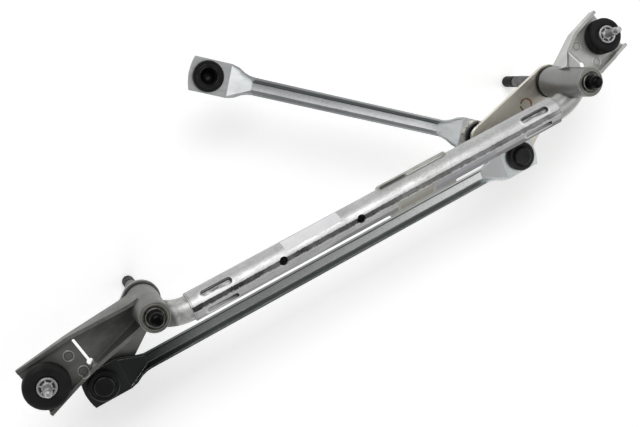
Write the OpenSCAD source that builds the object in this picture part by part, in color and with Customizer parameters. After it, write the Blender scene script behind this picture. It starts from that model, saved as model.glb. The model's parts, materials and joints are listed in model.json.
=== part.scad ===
// Windshield wiper linkage: a tube frame with two cast pivot housings, two cranks, a link rod and a
// motor rod. X runs along the frame tube, Z runs along the spindles, and the locating pins point up.
// The parts are drawn from the left spindle axis, at the lever-side end face of the left housing.
// They are then moved so that the origin is the middle of the left locating pin's seat, where the
// linkage hangs in the car body.

/* [Frame] */
// Distance between the two spindle axes
pivot_span = 420; // [380:1:460]
// Frame tube outside diameter
tube_od = 25; // [22:0.5:28]
// Frame tube wall
tube_wall = 1.5; // [1.2:0.1:2]
// Tube centre line, sideways from the spindle axes
tube_y = -16.8; // [-20:0.1:-14]
// Tube centre line height
tube_z = 27; // [25:0.5:30]
// Gap from a spindle axis to the tube's cut end
tube_gap = 30; // [28:0.5:34]
// Spacing of the two motor screw holes
hole_pitch = 75; // [60:1:90]
// Width of the groove along the tube
groove_w = 4; // [3:0.1:6]
// Diameter of the motor screw holes
hole_d = 7.6; // [6.6:0.1:8.4]
// Position of the first motor screw hole
hole_x = 114; // [100:1:130]

/* [Pivot housings] */
// Length of a bearing barrel
barrel_h = 63; // [55:1:70]
// Barrel radius at the lever end
barrel_r0 = 14; // [13:0.1:15]
// Barrel radius at the open end
barrel_r1 = 12.5; // [12:0.1:14]
// Tilt of the left mounting arm and locating pin from the spindle axis
left_tilt = 2; // [0:1:12]
// Tilt of the right mounting arm and locating pin from the spindle axis
right_tilt = 11; // [0:1:15]
// Arm web thickness
web_t = 3.5; // [3:0.1:4.5]
// Arm flange thickness
flange_t = 3; // [2.5:0.1:4]

/* [Spindles] */
// Spindle diameter
spindle_d = 12; // [10:0.5:14]
// Radial running clearance in the bushes
running = 0.04; // [0.02:0.01:0.08]
// Reach of the spindle past the housing's open end
tip_reach = 12; // [8:0.5:15]
// Reach of the spindle below the housing's lever end
stub_reach = 84; // [75:1:90]

/* [Linkage] */
// Link ball position from the spindle axis, X
crank_x = -59; // [-65:0.5:-50]
// Link ball position from the spindle axis, Y
crank_y = -46.5; // [-52:0.5:-40]
// Motor rod ball position from the spindle axis, X
motor_ball_x = -81.5; // [-90:0.5:-70]
// Motor rod ball position from the spindle axis, Y
motor_ball_y = -17; // [-22:0.5:-12]
// Lever plate thickness
lever_t = 4.5; // [4:0.1:6]
// Ball diameter
ball_d = 13; // [10:0.5:16]
// Ball-to-ball length of the motor rod
motor_rod_l = 258.6; // [240:0.2:280]
// Direction of the motor rod in the rest position
motor_rod_a = 142.7; // [130:0.1:150]
// Width of the pressed rod channel
rod_w = 15.2; // [13:0.1:18]
// Depth of the pressed rod channel
rod_h = 7.2; // [5:0.1:9]
// Lean of the rod's flanges
rod_lean = 26; // [0:1:30]
// Rod sheet thickness
rod_t = 1.6; // [1.2:0.1:2]
// Outer diameter of a ball socket
socket_d = 26.4; // [24:0.2:28]

/* [Hidden] */
$fn = 96;
tube_r = tube_od / 2;
tube_ri = tube_r - tube_wall;
tube_len = pivot_span - 2 * tube_gap + 7.5;
spindle_r = spindle_d / 2;
seat_r = spindle_r - 0.3;
ball_r = ball_d / 2;
lever_top = -3.3;
lever_bottom = lever_top - lever_t;
link_ball_z = lever_top + 7.3;
motor_ball_z = lever_bottom - 7.3;
arm_z = 5;
bush_r = 8;
bush_l = 16;
recess_r = 9.6;
recess_h = 2.2;
recess_z = barrel_h - recess_h;
groove_d = 1.6;
flat_a = 25;
flat_d = 12.02;
motor_flat_a = 37;
motor_flat_d = 11.04;
motor_flat_x = 135;
flat_ramp = 20;
motor_flat_drop = 1.4;
spigot_l = 42;
spigot_r = tube_ri - 0.1;
dimple_l = 28;
dimple_x = 11;
left_grommet_r = 19.2;
right_grommet_r = 16.1;
grommet_top = 17;
pin_foot = 1.2;
pin_seat = 14.5;
pin_mid = grommet_top + (pin_foot + pin_seat) / 2;
plate_w = 29;
flare_start = 18.5;
flare_end = 40;
left_arm_top = [[-113, -0.3], [-66.6, 6.3], [-12.3, 11], [-4, 12.7]];
left_arm_low = [[-4, -8.2], [-13, -13], [-57.8, -28.4], [-104.5, -46.1]];
right_arm_top = [[-2.4, 9.6], [4.8, 13.5], [32.8, 32], [62.6, 41.8]];
right_arm_low = [[78.4, -1.1], [59.5, -7.2], [36.5, -12.2], [12, -12.6], [2, -12.8]];
left_eye = [-97, -20.7];
right_eye = [59.2, 16.9];
origin = [
    left_eye[0],
    left_eye[1] * cos(left_tilt) + pin_mid * sin(left_tilt),
    arm_z - left_eye[1] * sin(left_tilt) + pin_mid * cos(left_tilt)
];

// ---------- helpers ----------

// Moves a shape drawn in the tube's cross-section, local Z along the tube
module on_tube(x) {
    translate([x, tube_y, tube_z])
        rotate([90, 0, 90])
            children();
}

// Moves a shape into the tilted frame of an arm
module on_arm(px, tilt) {
    translate([px, 0, arm_z])
        rotate([-tilt, 0, 0])
            children();
}

// Moves a finished part so that the left locating pin's seat is at the origin
module placed() {
    translate(-origin)
        children();
}

// Slot outline along X, centred
module slot2d(l, w) {
    square([l - w, w], center = true);
    for (s = [-1, 1])
        translate([s * (l - w) / 2, 0])
            circle(d = w);
}

// Flat plate of thickness h with two round ends joined by straight edges
module taper(p, r1, q, r2, h) {
    d = norm(q - p);
    a = atan2(q[1] - p[1], q[0] - p[0]);
    b = acos((r1 - r2) / d);
    edge1 = [cos(a + b), sin(a + b)];
    edge2 = [cos(a - b), sin(a - b)];
    translate(p)
        cylinder(r = r1, h = h);
    translate(q)
        cylinder(r = r2, h = h);
    linear_extrude(h)
        polygon([
            p + (r1 - 0.02) * edge1,
            q + (r2 - 0.02) * edge1,
            q + (r2 - 0.02) * edge2,
            p + (r1 - 0.02) * edge2
        ]);
}

// Unit normal on the right-hand side of the step from p to q
function side(p, q) = [q[1] - p[1], p[0] - q[0]] / norm(q - p);

// Path moved sideways to its right by t, with mitred corners
function inset(pts, t) = [
    for (i = [0:len(pts) - 1])
        let (
            n1 = i == 0 ? side(pts[0], pts[1]) : side(pts[i - 1], pts[i]),
            n2 = i == len(pts) - 1 ? n1 : side(pts[i], pts[i + 1])
        )
            pts[i] + t * (n1 + n2) / (1 + n1 * n2)
];

function back(pts) = [for (i = [len(pts) - 1:-1:0]) pts[i]];

// ---------- frame tube ----------

// Solid inside the tube's surface moved inwards by t, longer by extra at both ends. A groove runs
// along its top, a narrow flat beside it, and a broader flat on the motor's stretch.
module tube_core(t, extra) {
    difference() {
        translate([0, 0, -extra])
            linear_extrude(tube_len + 2 * extra)
                difference() {
                    circle(r = tube_r - t);
                    translate([-groove_w / 2 - t, tube_r - groove_d - t])
                        square([groove_w + 2 * t, 4]);
                    rotate(flat_a)
                        translate([-20, flat_d - t])
                            square([40, 10]);
                }
        rotate([0, 0, motor_flat_a])
            rotate([0, -90, 0])
                linear_extrude(40, center = true)
                    polygon([
                        [motor_flat_x - flat_ramp, tube_r - t + 0.1], [motor_flat_x, motor_flat_d - t],
                        [tube_len + 2, motor_flat_d - t], [tube_len + 2, 20],
                        [motor_flat_x - flat_ramp, 20]
                    ]);
    }
}

// Crimp dimples that lock the tube on a spigot, drawn from radius r0 outwards. The one on the
// flat's side starts lower by drop.
module dimples(r0, grow, depth, drop) {
    for (s = [[-36, 6.5, 0], [36, 4.5, drop]])
        rotate([0, 0, s[0]])
            translate([0, r0 - s[2], 0])
                rotate([-90, 90, 0])
                    linear_extrude(depth)
                        slot2d(dimple_l + 2 * grow, s[1] + 2 * grow);
}

module end_dimples(r0, grow, depth) {
    translate([0, 0, dimple_x + dimple_l / 2])
        dimples(r0, grow, depth, 0);
    translate([0, 0, tube_len - dimple_x - dimple_l / 2])
        dimples(r0, grow, depth, motor_flat_drop);
}

module frame_tube() {
    color("silver") placed()
        difference() {
            on_tube(tube_gap)
                difference() {
                    tube_core(0, 0);
                    difference() {
                        tube_core(tube_wall, 1);
                        end_dimples(tube_r - 3.6, 1.5, 6);
                    }
                    end_dimples(tube_r - 2.1, 0, 6);
                }
            for (i = [0, 1])
                translate([hole_x + i * hole_pitch, tube_y, tube_z])
                    cylinder(d = hole_d, h = 2 * tube_od, center = true);
        }
}

// Half shell pressed round the far side of the tube, welded where the motor bracket seats
module motor_saddle() {
    color("gainsboro") placed()
        on_tube(217)
            difference() {
                linear_extrude(67)
                    difference() {
                        circle(r = tube_r + 2.2);
                        circle(r = tube_r);
                        translate([-20, 3.2])
                            square([40, 20]);
                    }
                for (s = [0, 1])
                    translate([0, 0, s * 67])
                        rotate([90, 45, 0])
                            cube([9, 9, 60], center = true);
            }
}

// Blank paper label on the tube's upper side
module tube_label() {
    color("white") placed()
        on_tube(119)
            rotate([0, 0, 4])
                rotate_label(54);
}

// Thin skin round the tube between its local X axis and angle a
module rotate_label(a) {
    linear_extrude(54)
        difference() {
            intersection() {
                circle(r = tube_r + 0.15);
                polygon([[0, 0], [30, 0], [30, 30 * tan(a / 2)], [30 * cos(a), 30 * sin(a)]]);
            }
            circle(r = tube_r + 0.02);
        }
}

// ---------- pivot housings ----------

module barrel() {
    rotate_extrude()
        polygon([
            [0, 0], [13.2, 0], [barrel_r0, 0.8], [barrel_r0, 4],
            [barrel_r1 + 0.2, barrel_h - 4], [barrel_r1, barrel_h - 3.2],
            [barrel_r1, barrel_h - 0.8], [barrel_r1 - 0.8, barrel_h], [0, barrel_h]
        ]);
}

module barrel_bore() {
    translate([0, 0, -1])
        cylinder(r = 7, h = barrel_h + 2);
    translate([0, 0, -1])
        cylinder(r = bush_r, h = bush_l + 1);
    translate([0, 0, recess_z - bush_l])
        cylinder(r = bush_r, h = bush_l + 1);
    translate([0, 0, recess_z])
        cylinder(r = recess_r, h = 10);
    translate([0, 0, barrel_h - 0.6])
        difference() {
            cylinder(r = 11.2, h = 2);
            cylinder(r = 10.5, h = 5, center = true);
        }
}

// Curved cast neck from the barrel to the tube, with the spigot that fills the tube's end
module neck(on_motor_flat) {
    bend_r = 40;
    bend_a = 42;
    translate([tube_gap, tube_y + bend_r, tube_z])
        rotate([0, 0, -90 - bend_a])
            rotate_extrude(angle = bend_a)
                translate([bend_r, 0])
                    circle(r = spigot_r);
    translate([
        tube_gap - bend_r * sin(bend_a),
        tube_y + bend_r * (1 - cos(bend_a)),
        tube_z
    ])
        rotate([0, -90, -bend_a])
            cylinder(r = spigot_r, h = 6);
    spigot(on_motor_flat);
}

// Block outside a flat of the tube at angle a and distance d
module flat_block(a, d) {
    rotate([0, 0, a])
        translate([-20, d, 0])
            cube([40, 10, 60]);
}

module spigot(on_motor_flat) {
    t = tube_wall + 0.1;
    difference() {
        on_tube(tube_gap - 1.2)
            cylinder(r = spigot_r, h = spigot_l + 1.2);
        on_tube(tube_gap - 0.1) {
            translate([-10, tube_r - groove_d - t, 0])
                cube([20, 10, 60]);
            flat_block(flat_a, flat_d - t);
            if (on_motor_flat)
                flat_block(motor_flat_a, motor_flat_d - t);
        }
        on_tube(tube_gap + dimple_x + dimple_l / 2)
            dimples(tube_r - 3.7, 1.6, 10, on_motor_flat ? motor_flat_drop : 0);
    }
}

// Channel-shaped mounting arm from two edge paths, drawn in the arm's tilted frame. The flanges
// stand as high as their two profiles, which run along the arm's heading.
module arm(top, low, top_profile, low_profile, heading, eye, notch_a) {
    difference() {
        linear_extrude(web_t)
            polygon(concat(top, low));
        translate([eye[0], eye[1], -1])
            cylinder(r = 9, h = 10);
        translate([eye[0], eye[1], -1])
            rotate([0, 0, notch_a])
                translate([0, -8.7, 0])
                    cube([40, 17.4, 10]);
    }
    flange(top, top_profile, heading);
    flange(low, low_profile, heading);
}

module flange(path, profile, heading) {
    last = profile[len(profile) - 1];
    intersection() {
        linear_extrude(50)
            polygon(concat(path, back(inset(path, flange_t))));
        rotate([0, 0, heading])
            rotate([90, 0, 0])
                linear_extrude(160, center = true)
                    polygon(concat([[-4, 0], [profile[0][0], 0]], profile, [[-4, last[1]]]));
    }
}

// Narrow slot from p through a round hole at q, running on past it by tail, cut through the web
module keyhole(p, q, tail) {
    translate([0, 0, -1]) {
        taper(p, 1.2, q + tail * (q - p) / norm(q - p), 1.2, web_t + 2);
        translate(q)
            cylinder(r = 2.9, h = web_t + 2);
    }
}

// Raised ring left by an ejector pin
module ejector_mark(p) {
    translate([p[0], p[1], web_t - 0.3])
        difference() {
            cylinder(r = 4.6, h = 0.65);
            cylinder(r = 3.9, h = 2);
        }
}

module left_housing() {
    color("gray") placed()
        difference() {
            union() {
                barrel();
                neck(false);
                on_arm(0, left_tilt) {
                    difference() {
                        arm(
                            left_arm_top, left_arm_low,
                            [[120, 4.2], [109, 4.5], [65, 10], [6, 33]],
                            [[120, 8], [81, 9], [65, 12], [42, 20], [12, 33]],
                            191.9, left_eye, 191
                        );
                        keyhole([-63, -0.4], [-59.2, -22.4], 6);
                    }
                    ejector_mark([-72, -9.8]);
                    ejector_mark([-67.5, -26.5]);
                }
            }
            barrel_bore();
        }
}

module right_housing() {
    color("lightgray") placed()
        difference() {
            union() {
                translate([pivot_span, 0, 0])
                    barrel();
                translate([2 * tube_gap + tube_len, 0, 0])
                    mirror([1, 0, 0])
                        neck(true);
                on_arm(pivot_span, right_tilt) {
                    difference() {
                        arm(
                            right_arm_top, right_arm_low,
                            [[90, 8.5], [46, 12], [21, 16.5], [9, 28], [1, 36]],
                            [[90, 10], [60, 10], [40, 16], [21, 24], [8, 31]],
                            18.6, right_eye, 25
                        );
                        keyhole([24.7, 17.9], [31.6, 1.7], 0);
                    }
                    ejector_mark([34.4, 19.5]);
                    ejector_mark([45.7, -1.7]);
                }
            }
            translate([pivot_span, 0, 0])
                barrel_bore();
        }
}

module bushes(px) {
    color("peru") placed()
        for (z = [0, recess_z - bush_l])
            translate([px, 0, z])
                difference() {
                    cylinder(r = bush_r, h = bush_l);
                    translate([0, 0, -1])
                        cylinder(r = spindle_r + running, h = bush_l + 2);
                }
}

module left_bushes() {
    bushes(0);
}

module right_bushes() {
    bushes(pivot_span);
}

// Grooved rubber mount that sits in an arm's open eye, its head widening to radius r at height wide
module grommet(eye, r, wide) {
    translate([eye[0], eye[1], 0])
        rotate_extrude()
            polygon([
                [6, -5], [12.4, -5], [13.2, -4.2], [13.2, 0], [8.9, 0], [8.9, web_t],
                [14.9, web_t], [r - 0.4, wide - 0.5], [r, wide], [r, grommet_top - 3.4],
                [r - 0.8, grommet_top - 1.6], [r - 2.2, grommet_top - 0.5], [r - 3.8, grommet_top],
                [9.4, grommet_top], [8.4, grommet_top - 1], [6, grommet_top - 1]
            ]);
}

module left_grommet() {
    color("black") placed()
        on_arm(0, left_tilt)
            grommet(left_eye, left_grommet_r, 10.4);
}

module right_grommet() {
    color("black") placed()
        on_arm(pivot_span, right_tilt)
            grommet(right_eye, right_grommet_r, 5);
}

// Cast insert with a ribbed face and a stepped locating pin
module locating_pin(eye) {
    face = grommet_top - 0.4;
    translate([eye[0], eye[1], 0]) {
        rotate_extrude()
            polygon([
                [0, -4], [5.4, -4], [6, -3.4], [6, grommet_top - 1], [8.2, grommet_top - 1],
                [8.2, grommet_top + 0.9], [7.8, grommet_top + 1.3], [6.8, grommet_top + 1.3],
                [6.4, grommet_top + 0.9], [6.4, face], [4.4, face],
                [4.4, grommet_top + pin_foot], [3.5, grommet_top + pin_foot],
                [3.5, grommet_top + pin_seat], [2.8, grommet_top + 15.2],
                [2.8, grommet_top + 20.6], [1.8, grommet_top + 22], [0, grommet_top + 22]
            ]);
        for (a = [20:60:320])
            rotate([0, 0, a])
                translate([4, -0.55, face - 1])
                    cube([3.1, 1.1, 1.7]);
    }
}

module left_locating_pin() {
    color("silver") placed()
        on_arm(0, left_tilt)
            locating_pin(left_eye);
}

module right_locating_pin() {
    color("silver") placed()
        on_arm(pivot_span, right_tilt)
            locating_pin(right_eye);
}

// ---------- cranks ----------

// Spindle from its domed end, through the bushes and lever, to the splined cone and threaded end
module spindle(px) {
    top = barrel_h + tip_reach;
    translate([px, 0, 0])
        rotate_extrude()
            polygon(concat(
                [
                    [0, -stub_reach + 1.6], [3.4, -stub_reach + 1.6], [4, -stub_reach + 2.2],
                    [4, -64.2], [5, -64.2], [5.1, -63.6], [seat_r, -50],
                    [seat_r, lever_bottom], [spindle_r, lever_bottom],
                    [spindle_r, recess_z + 1.5], [5.4, recess_z + 1.5], [5.4, recess_z + 3.3],
                    [spindle_r, recess_z + 3.3]
                ],
                [for (a = [0:10:80]) [1.5 + 4.5 * cos(a), top - 4.5 + 4.5 * sin(a)]],
                [[0, top]]
            ));
}

module left_spindle() {
    color("dimgray") placed()
        spindle(0);
}

module right_spindle() {
    color("dimgray") placed()
        spindle(pivot_span);
}

module stud_hole(p) {
    translate([p[0], p[1], lever_bottom - 1])
        cylinder(r = 3.2, h = lever_t + 2);
}

module left_lever() {
    ball = [crank_x, crank_y];
    color("silver") placed()
        difference() {
            translate([0, 0, lever_bottom])
                taper([0, 0], 16, ball, 14.6, lever_t);
            cylinder(r = spindle_r, h = 60, center = true);
            stud_hole(ball);
        }
}

module right_lever() {
    ball = [crank_x, crank_y];
    motor = [motor_ball_x, motor_ball_y];
    color("wheat") placed()
        translate([pivot_span, 0, 0])
            difference() {
                translate([0, 0, lever_bottom]) {
                    taper([0, 0], 16, motor, 11.5, lever_t);
                    taper([0, 0], 16, ball, 12, lever_t);
                    taper(motor, 11.5, ball, 12, lever_t);
                    linear_extrude(lever_t)
                        polygon([[0, 0], motor, ball]);
                }
                cylinder(r = spindle_r, h = 60, center = true);
                stud_hole(ball);
                stud_hole(motor);
            }
}

// Ball stud standing on z = 0, riveted through a lever plate below it
module ball_stud() {
    translate([0, 0, 7.3])
        sphere(r = ball_r);
    rotate_extrude()
        polygon([
            [0, -lever_t - 0.4], [4, -lever_t - 0.4], [4.6, -lever_t - 0.2], [4.6, -lever_t],
            [3.2, -lever_t], [3.2, 0], [4.4, 0], [4.4, 3], [0, 3]
        ]);
}

module left_ball_stud() {
    color("slategray") placed()
        translate([crank_x, crank_y, lever_top])
            ball_stud();
}

module right_link_stud() {
    color("slategray") placed()
        translate([pivot_span + crank_x, crank_y, lever_top])
            ball_stud();
}

module right_motor_stud() {
    color("slategray") placed()
        translate([pivot_span + motor_ball_x, motor_ball_y, lever_bottom])
            mirror([0, 0, 1])
                ball_stud();
}

// Rubber weather seal squeezed between a lever and its barrel
module seal(px) {
    color("black") placed()
        translate([px, 0, 0])
            rotate_extrude()
                polygon([
                    [spindle_r, lever_top], [13.6, lever_top], [14.4, lever_top + 0.8],
                    [14.4, lever_top + 2], [13.6, -0.06], [spindle_r, -0.06]
                ]);
}

module left_seal() {
    seal(0);
}

module right_seal() {
    seal(pivot_span);
}

module thrust_washer(px) {
    color("darkgray") placed()
        translate([px, 0, recess_z + 0.06])
            difference() {
                cylinder(r = recess_r - 0.4, h = 1.44);
                translate([0, 0, -1])
                    cylinder(r = spindle_r, h = 4);
            }
}

module left_thrust_washer() {
    thrust_washer(0);
}

module right_thrust_washer() {
    thrust_washer(pivot_span);
}

module retaining_ring(px) {
    color("slategray") placed()
        translate([px, 0, recess_z + 1.5])
            rotate_extrude()
                polygon([[5.4, 0], [7.8, 0], [7.8, 1.2], [7.2, 1.8], [5.4, 1.8]]);
}

module left_retaining_ring() {
    retaining_ring(0);
}

module right_retaining_ring() {
    retaining_ring(pivot_span);
}

// Cap pushed over the threaded end of a spindle
module tip_cap(px) {
    color("black") placed()
        translate([px, 0, 0])
            rotate_extrude()
                polygon([
                    [0, -stub_reach], [3.2, -stub_reach], [4.7, -stub_reach + 0.7],
                    [5.4, -stub_reach + 2.4], [5.4, -65], [5, -64.3], [4, -64.3],
                    [4, -stub_reach + 2.2], [3.4, -stub_reach + 1.6], [0, -stub_reach + 1.6]
                ]);
}

module left_tip_cap() {
    tip_cap(0);
}

module right_tip_cap() {
    tip_cap(pivot_span);
}

// ---------- rods ----------

// Plan outline of a rod's end plate and flare, reduced by t
module rod_end2d(t) {
    w = plate_w / 2 - t;
    c = rod_w / 2 - t;
    polygon([
        [0, w], [18.5, w], [25, 12.9 - t], [31, 9.5 - t], [36, 8 - t], [flare_end + 1, c],
        [flare_end + 1, -c], [36, t - 8], [31, t - 9.5], [25, t - 12.9], [18.5, -w], [0, -w]
    ]);
    intersection() {
        circle(r = 20.3 - t);
        translate([25.6, 0])
            circle(r = 42 - t);
        translate([-20, -w])
            square([24, 2 * w]);
    }
}

// Trapezoid across a rod, from half width low at z0 to half width high at z1
module rod_section(length, low, z0, high, z1) {
    rotate([90, 0, 90])
        linear_extrude(length)
            polygon([[-low, z0], [low, z0], [high, z1], [-high, z1]]);
}

// Flare between a rod's channel section and its end plate
module rod_flare(channel, plate) {
    hull() {
        translate([flare_end, 0, 0])
            rod_section(0.1, channel[0], channel[1], channel[2], channel[3]);
        translate([flare_start, 0, 0])
            rod_section(0.1, plate[0], plate[1], plate[2], plate[3]);
    }
}

// Pressed channel rod along X from ball to ball, plates centred on z = 0, open side up
module rod(l) {
    top = rod_t / 2;
    floor_z = top - rod_h;
    lean = tan(rod_lean);
    rim = rod_w / 2;
    foot = rim - rod_h * lean;
    in_rim = rim - rod_t + lean;
    in_foot = in_rim - (rod_h - rod_t + 1) * lean;
    half_plate = plate_w / 2;
    outside = [foot, floor_z, rim, top];
    inside = [in_foot, floor_z + rod_t, in_rim, top + 1];
    difference() {
        union() {
            translate([flare_end, 0, 0])
                rod_section(l - 2 * flare_end, foot, floor_z, rim, top);
            rod_ends(l)
                intersection() {
                    translate([0, 0, floor_z - 1])
                        linear_extrude(rod_h + 2)
                            rod_end2d(0);
                    union() {
                        translate([-30, -30, -top])
                            cube([30 + flare_start + 0.1, 60, rod_t]);
                        rod_flare(outside, [half_plate, -top, half_plate + 1, top]);
                    }
                }
        }
        translate([flare_end - 0.05, 0, 0])
            rod_section(l - 2 * flare_end + 0.1, in_foot, floor_z + rod_t, in_rim, top + 1);
        rod_ends(l) {
            intersection() {
                translate([0, 0, floor_z - 1])
                    linear_extrude(rod_h + 3)
                        rod_end2d(rod_t);
                rod_flare(inside, [half_plate - rod_t, top, half_plate - rod_t, top + 1]);
            }
            translate([0, 0, -5])
                cylinder(r = 11, h = 10);
        }
    }
}

// The same shape at both ends of a rod of length l, mirrored at the far end
module rod_ends(l) {
    children();
    translate([l, 0, 0])
        mirror([1, 0, 0])
            children();
}

// Snap-in ball socket round the ball centre, mouth down, closed cap up
module socket(clear) {
    rf = socket_d / 2;
    difference() {
        rotate_extrude()
            polygon([
                [0, -4.9], [9.6, -4.9], [10.2, -4.3], [12.4, -4.3], [rf, -3.5], [rf, -0.8],
                [11, -0.8], [11, 0.8], [rf, 0.8], [rf, 4.2], [12.2, 5.2], [10.2, 5.2],
                [9.8, 4.8], [9.2, 4.8], [8.8, 5.2], [8.2, 7.4], [7.4, 8], [0, 8]
            ]);
        sphere(r = ball_r + clear);
        rotate_extrude()
            polygon([[0, -2.1], [6.2, -2.1], [6.4, -3.4], [7.6, -5.2], [0, -5.2]]);
    }
}

module at_link(x) {
    translate([x, crank_y, link_ball_z])
        children();
}

module at_motor_rod() {
    translate([pivot_span + motor_ball_x, motor_ball_y, motor_ball_z])
        rotate([0, 0, motor_rod_a])
            children();
}

module link_rod() {
    color("lightsteelblue") placed()
        at_link(crank_x)
            rod(pivot_span);
}

module link_socket_left() {
    color("black") placed()
        at_link(crank_x)
            socket(0.1);
}

module link_socket_right() {
    color("black") placed()
        at_link(pivot_span + crank_x)
            socket(running);
}

module motor_rod() {
    color("lightsteelblue") placed()
        at_motor_rod()
            rod(motor_rod_l);
}

module motor_socket_free() {
    color("black") placed()
        at_motor_rod()
            translate([motor_rod_l, 0, 0])
                mirror([0, 0, 1])
                    socket(running);
}

module motor_socket_lever() {
    color("black") placed()
        at_motor_rod()
            mirror([0, 0, 1])
                socket(running);
}

frame_tube();
motor_saddle();
tube_label();
left_housing();
right_housing();
left_bushes();
right_bushes();
left_grommet();
right_grommet();
left_locating_pin();
right_locating_pin();
left_spindle();
left_lever();
left_ball_stud();
left_seal();
left_thrust_washer();
left_retaining_ring();
left_tip_cap();
right_spindle();
right_lever();
right_link_stud();
right_motor_stud();
right_seal();
right_thrust_washer();
right_retaining_ring();
right_tip_cap();
link_rod();
link_socket_left();
link_socket_right();
motor_rod();
motor_socket_free();
motor_socket_lever();
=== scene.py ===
import json
import math

import bmesh
import bpy
from mathutils import Matrix, Vector


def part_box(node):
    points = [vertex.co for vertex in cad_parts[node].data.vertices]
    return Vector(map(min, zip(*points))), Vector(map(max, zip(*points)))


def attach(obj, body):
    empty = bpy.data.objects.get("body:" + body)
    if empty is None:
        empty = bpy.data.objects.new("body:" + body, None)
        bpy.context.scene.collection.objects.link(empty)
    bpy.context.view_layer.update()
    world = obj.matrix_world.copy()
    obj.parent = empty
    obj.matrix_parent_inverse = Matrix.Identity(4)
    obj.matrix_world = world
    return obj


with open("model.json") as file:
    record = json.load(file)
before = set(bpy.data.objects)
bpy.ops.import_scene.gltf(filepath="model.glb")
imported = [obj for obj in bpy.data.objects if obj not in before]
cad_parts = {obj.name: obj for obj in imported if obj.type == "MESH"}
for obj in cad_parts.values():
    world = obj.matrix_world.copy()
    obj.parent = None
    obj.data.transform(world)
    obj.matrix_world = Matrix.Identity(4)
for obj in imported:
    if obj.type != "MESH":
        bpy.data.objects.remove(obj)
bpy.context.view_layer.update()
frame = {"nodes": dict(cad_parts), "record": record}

MM = 0.001
JOINTS = {joint["name"]: Vector(joint["pos_m"]) for joint in frame["record"]["behaviour"]["joints"]}
# The foot of the left spindle. Every place below is measured from it, as in the CAD drawing.
LEFT_AXIS = JOINTS["left_crank_turn"]
TUBE_Y = -16.8 * MM
TUBE_Z = 27 * MM
TUBE_R = 12.5 * MM
TUBE_ENDS = (30.9 * MM, 396.6 * MM)
# The broad flat for the motor: its angle from +Z towards -Y, its half width in degrees, and its distance
# from the tube's middle
FLAT_ANGLE = 37
FLAT_HALF = 28
FLAT_REACH = 11.04 * MM
# Crimp dimples: middles along the tube, length, and the angle and width of the two rows
DIMPLE_MIDDLES = (55 * MM, 372.5 * MM)
DIMPLE_LENGTH = 28 * MM
DIMPLE_ROWS = ((-36, 6.5 * MM), (36, 4.5 * MM))
# Mounting arms: height of their plane at the spindle, tilts about X in degrees, and ejector marks on them
ARM_Z = 5 * MM
LEFT_TILT = 2
RIGHT_TILT = 11
LEFT_MARKS = ((-72 * MM, -9.8 * MM), (-67.5 * MM, -26.5 * MM))
RIGHT_MARKS = ((34.4 * MM, 19.5 * MM), (45.7 * MM, -1.7 * MM))
LINK_BALL = JOINTS["link_rod_pivot"] - LEFT_AXIS
MOTOR_BALL = JOINTS["motor_rod_pivot"] - LEFT_AXIS
SPAN = JOINTS["right_crank_turn"].x - LEFT_AXIS.x
RIGHT_AXIS = (SPAN, 0, 0)
LINK_LEFT_BALL = LINK_BALL - Vector((SPAN, 0, 0))
# The motor rod's heading from +X, in degrees, and the distance between its two sockets
ROD_TURN = 142.7
MOTOR_ROD_LENGTH = 258.6 * MM
# Pressed rods: half widths of the floor, to the rims, and of the plates, and where the ramps start and end
FLOOR_HALF = 3.3 * MM
RIM_HALF = 5.9 * MM
PLATE_HALF = 12.8 * MM
RAMP_START = 18.5 * MM
RAMP_END = 40 * MM
# The inspection ring's middle on the right lever
RING_MARK = (389.4 * MM, -8.8 * MM, 0)
# The studio floor, just under the lowest point
FLOOR_Z = -84.6 * MM
# Weld beads: two round the tube, and one along the saddle's lip
BAND_WELDS = (225 * MM, 261 * MM)
LIP_WELD = (243 * MM, 282 * MM)
# Splines: number of teeth, their depth, and the height and radius of the cone from its lever end
TEETH = 36
TOOTH_DEPTH = 0.42 * MM
SPLINE_CONE = (
    (-50.4 * MM, 5.64 * MM),
    (-51.4 * MM, 5.86 * MM),
    (-62.6 * MM, 5.4 * MM),
    (-63.3 * MM, 5.05 * MM),
)
# The photograph's viewpoint: where the camera is, what it looks at, the picture's upward direction over the
# drawing plane in degrees from +X, and the lens for a 36 mm sensor
CAMERA_PLACE = Vector((-33.2, 215.6, 804.1)) * MM
CAMERA_AIM = Vector((167.9, -6.4, 0)) * MM
CAMERA_UP = 64.95
CAMERA_LENS = 55.82


def pin_face(name, drop):
    """Place and direction of a locating pin where it leaves its insert, drop below its seat's middle."""
    mount = next(m for m in frame["record"]["mounts"] if m["name"] == name)
    axis = Vector(mount["axis"])
    return Vector(mount["pos_m"]) - LEFT_AXIS - axis * drop, axis


PIN_DROP = 8.25 * MM
PIN_FACES = [pin_face(side + "_locating_pin_end", PIN_DROP) for side in ("left", "right")]
scene = bpy.context.scene


# ---------------------------------------------------------------- materials

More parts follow.
